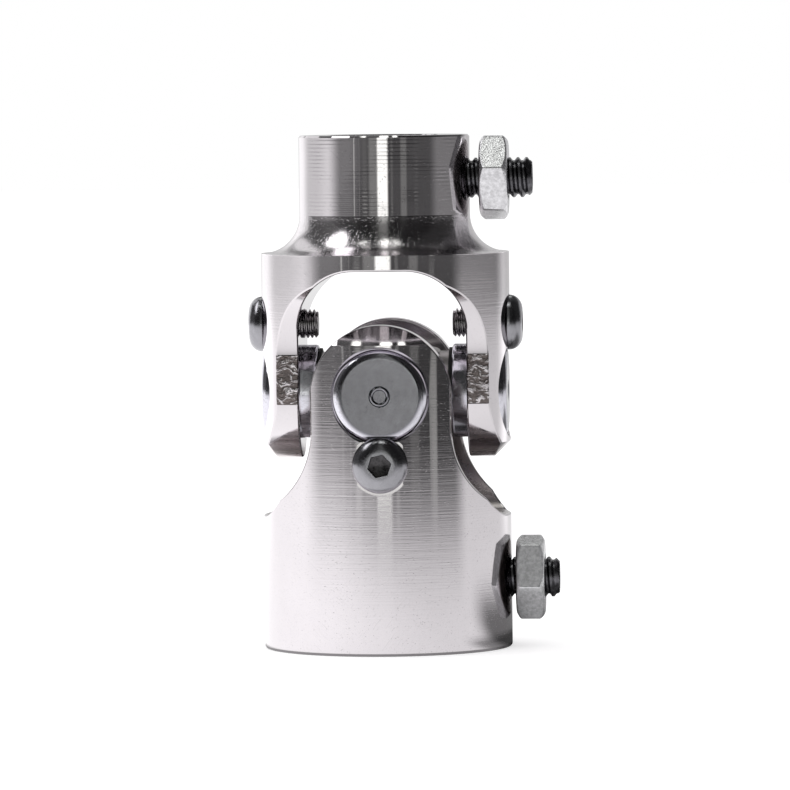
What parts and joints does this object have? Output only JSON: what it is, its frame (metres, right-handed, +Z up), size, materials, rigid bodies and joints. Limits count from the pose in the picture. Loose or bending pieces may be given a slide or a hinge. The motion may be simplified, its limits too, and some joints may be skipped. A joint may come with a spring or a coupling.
{
  "type": "steering universal joint",
  "caption": "Single steering universal joint: two turned steel yokes with splined bores, joined by a cross in needle roller bearings; set screws with jam nuts lock the shafts.",
  "frame": {"origin": "centre of the lower bore's mouth, on the plane of the lower yoke's foot", "axes": "+Z up the shaft line from the lower yoke to the upper one, +X the way both set screws point, the lower yoke's ears at -Y (front) and +Y (rear), the upper yoke's at -X and +X"},
  "size_m": [0.0516, 0.0458, 0.0855],
  "materials": {
    "yoke_steel": "bright plated steel with fine turning lines",
    "cross_steel": "forged steel with ground journals",
    "black_screw": "black oxide, lightly oiled",
    "nut_zinc": "zinc plated, slightly mottled",
    "cup_steel": "satin drawn steel",
    "needle_steel": "ground and polished",
    "disc_plastic": "natural bearing plastic",
    "seal_rubber": "black rubber",
    "button_screw": "satin steel head, black oxide thread"
  },
  "bodies": {
    "lower": {"lower_yoke": "yoke_steel", "lower_set_screw": "black_screw", "lower_jam_nut": "nut_zinc", "bearing_cup_front": "cup_steel", "needle_rollers_front": "needle_steel", "thrust_disc_front": "disc_plastic", "retaining_screw_front": "button_screw", "bearing_cup_rear": "cup_steel", "needle_rollers_rear": "needle_steel", "thrust_disc_rear": "disc_plastic", "retaining_screw_rear": "button_screw"},
    "cross": {"cross": "cross_steel", "trunnion_seal_front": "seal_rubber", "trunnion_seal_rear": "seal_rubber", "trunnion_seal_left": "seal_rubber", "trunnion_seal_right": "seal_rubber"},
    "upper": {"upper_yoke": "yoke_steel", "upper_set_screw": "black_screw", "upper_jam_nut": "nut_zinc", "bearing_cup_left": "cup_steel", "needle_rollers_left": "needle_steel", "thrust_disc_left": "disc_plastic", "retaining_screw_left": "button_screw", "bearing_cup_right": "cup_steel", "needle_rollers_right": "needle_steel", "thrust_disc_right": "disc_plastic", "retaining_screw_right": "button_screw"}
  },
  "joints": [
    {"name": "cross_swing", "type": "hinge", "parent": "lower", "child": "cross", "pos_m": [0, 0, 0.0428], "axis": [0, 1, 0], "range_deg": [-35, 35]},
    {"name": "upper_swing", "type": "hinge", "parent": "cross", "child": "upper", "pos_m": [0, 0, 0.0428], "axis": [1, 0, 0], "range_deg": [-35, 35]}
  ]
}
